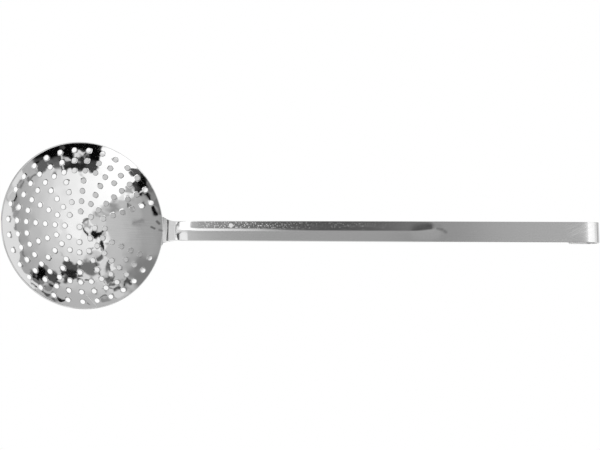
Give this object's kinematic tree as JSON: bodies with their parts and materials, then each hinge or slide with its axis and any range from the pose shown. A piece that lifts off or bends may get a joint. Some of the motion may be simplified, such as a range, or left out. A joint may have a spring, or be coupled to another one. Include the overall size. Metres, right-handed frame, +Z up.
{
  "type": "kitchen skimmer",
  "caption": "Kitchen skimmer: a shallow perforated round bowl welded to a long flat strip handle with a trough, whose end folds into a hook.",
  "frame": {"origin": "middle of the whole length and width, at the height of the table that the part rests on", "axes": "+X along the handle from the bowl towards the hook, +Y across the handle, +Z up"},
  "size_m": [0.4958, 0.14, 0.0848],
  "materials": {
    "polished_steel": "mirror polished",
    "satin_steel": "satin, with fine scratches",
    "weld_steel": "dull, as melted"
  },
  "bodies": {
    "root": {"bowl": "polished_steel", "handle": "satin_steel", "weld_nuggets": "weld_steel"}
  },
  "joints": []
}
